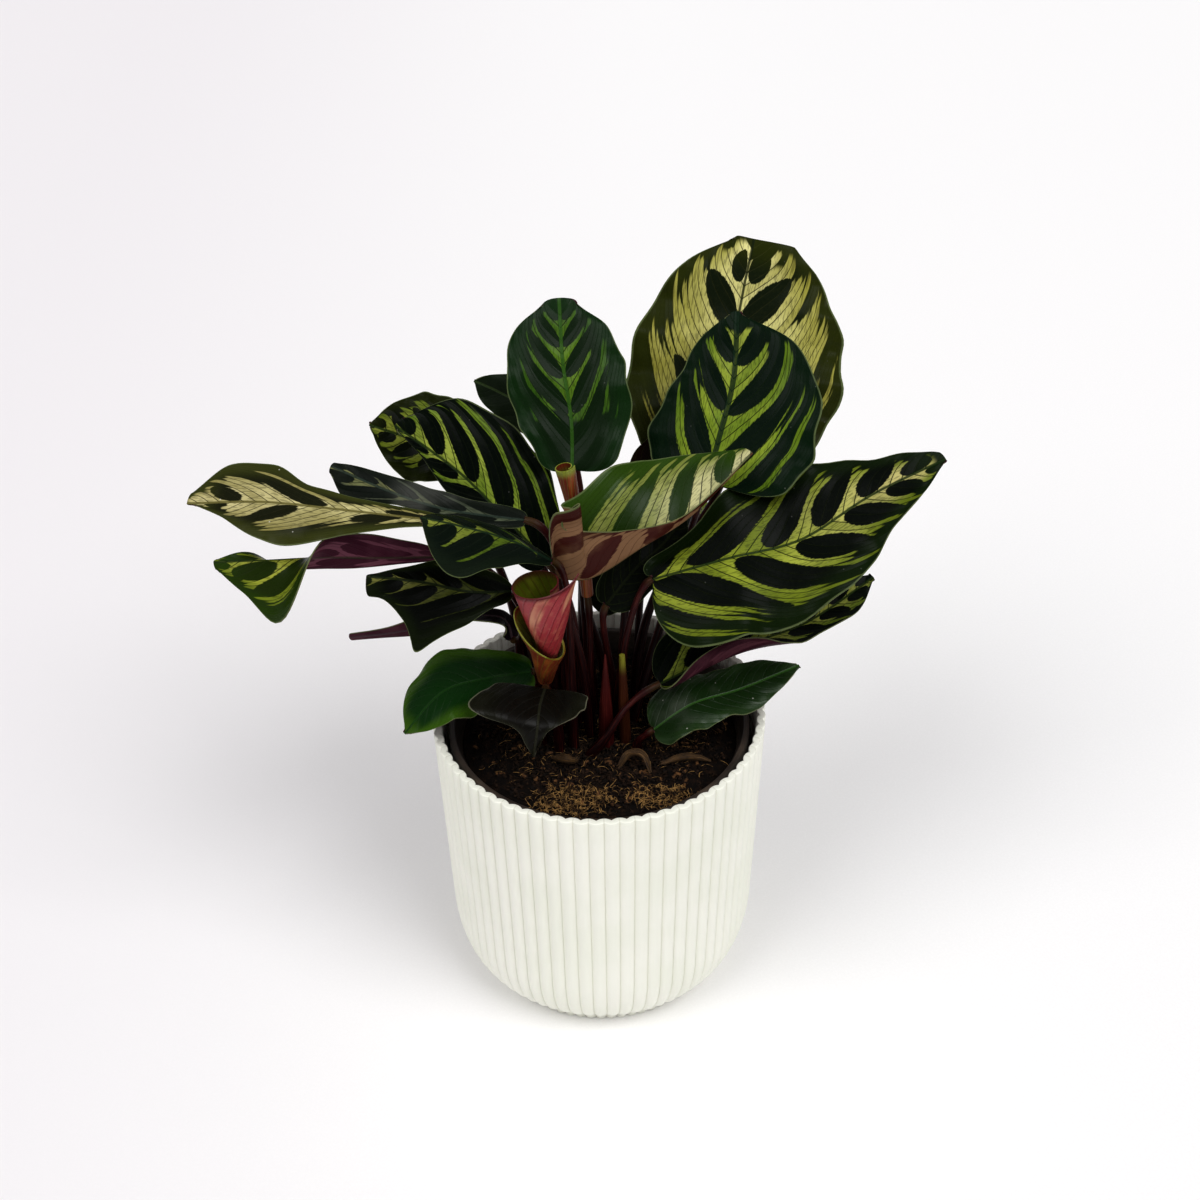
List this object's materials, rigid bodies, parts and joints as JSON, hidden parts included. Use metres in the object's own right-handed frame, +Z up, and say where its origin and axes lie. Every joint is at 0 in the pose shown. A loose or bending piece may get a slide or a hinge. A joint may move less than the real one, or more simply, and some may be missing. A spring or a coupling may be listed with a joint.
{
  "type": "potted plant",
  "caption": "Peacock-patterned prayer plant: folded, hanging and upright leaves on red stalks, with a rolled young leaf, in a nursery pot inside a white ribbed pot.",
  "frame": {"origin": "centre of the outer pot's flat underside", "axes": "+Z up through the pot's axis; -Y towards the side shown in the picture; +X to the right as seen from there"},
  "size_m": [0.3046, 0.178, 0.3058],
  "materials": {
    "leaf": "satin leaf surface with a peacock pattern",
    "young_leaf": "satin underside of a rolled young leaf",
    "sheath": "satin",
    "stalk": "satin stalk skin",
    "shoot": "satin",
    "dry_leaf": "dry and matte",
    "outer_pot": "matte",
    "nursery_pot": "matte",
    "peat": "rough, moist potting mix"
  },
  "bodies": {
    "root": {"dry_curl": "dry_leaf", "dry_lance": "dry_leaf", "dry_loop": "dry_leaf", "leaf_back_centre": "leaf", "leaf_back_left": "leaf", "leaf_back_low": "leaf", "leaf_back_low_left": "leaf", "leaf_back_right_low": "leaf", "leaf_back_right_tall": "leaf", "leaf_back_small": "leaf", "leaf_centre_folded": "leaf", "leaf_front_left": "leaf", "leaf_front_right": "leaf", "leaf_front_small": "leaf", "leaf_inner_low": "leaf", "leaf_inner_right": "leaf", "leaf_left_far": "leaf", "leaf_left_front": "leaf", "leaf_left_hanging": "leaf", "leaf_left_large": "leaf", "leaf_left_narrow": "leaf", "leaf_left_strap": "leaf", "leaf_left_twisted": "leaf", "leaf_right_large": "leaf", "leaf_right_under": "leaf", "leaf_upright_centre": "leaf", "new_leaf": "young_leaf", "new_leaf_tight": "young_leaf", "nursery_pot": "nursery_pot", "peat": "peat", "pot": "outer_pot", "sheath": "sheath", "shoot_red": "shoot", "shoot_tipped": "shoot", "stalk_back_centre": "stalk", "stalk_back_left": "stalk", "stalk_back_low": "stalk", "stalk_back_low_left": "stalk", "stalk_back_right_low": "stalk", "stalk_back_right_tall": "stalk", "stalk_back_small": "stalk", "stalk_centre_folded": "stalk", "stalk_front_left": "stalk", "stalk_front_right": "stalk", "stalk_front_small": "stalk", "stalk_inner_low": "stalk", "stalk_inner_right": "stalk", "stalk_left_far": "stalk", "stalk_left_front": "stalk", "stalk_left_hanging": "stalk", "stalk_left_large": "stalk", "stalk_left_narrow": "stalk", "stalk_left_strap": "stalk", "stalk_left_twisted": "stalk", "stalk_new_leaf": "stalk", "stalk_new_leaf_tight": "stalk", "stalk_right_large": "stalk", "stalk_right_under": "stalk", "stalk_upright_centre": "stalk"}
  },
  "joints": []
}
